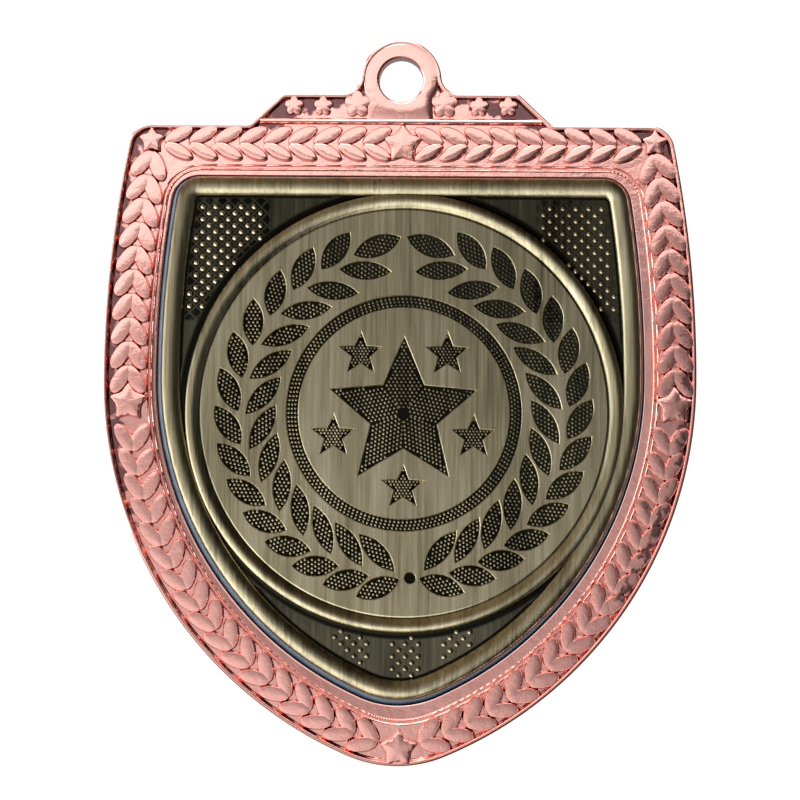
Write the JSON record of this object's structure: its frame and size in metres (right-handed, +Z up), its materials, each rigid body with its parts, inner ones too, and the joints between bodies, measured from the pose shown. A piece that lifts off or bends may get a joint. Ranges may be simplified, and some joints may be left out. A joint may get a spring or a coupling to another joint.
{
  "type": "shield award medal",
  "caption": "Shield-shaped award medal: a cast frame with a ribbon loop, leaf and star border, and a brushed insert with a wreath and star.",
  "frame": {"origin": "centre of the ribbon hole, halfway through the loop", "axes": "+Z up towards the top of the loop, +X to the right seen from the front, -Y towards the viewer, +Y out of the flat back"},
  "size_m": [0.0572, 0.003, 0.0699],
  "materials": {
    "copper_plating": "polished rose-copper plating on a zinc casting, slightly toned in the recesses",
    "pad_foam": "steel-blue closed-cell foam tape, cut edge",
    "antique_brass": "antique brass, vertically brushed, black patina in the recesses"
  },
  "bodies": {
    "root": {"frame": "copper_plating", "adhesive_pad": "pad_foam", "insert": "antique_brass"}
  },
  "joints": []
}
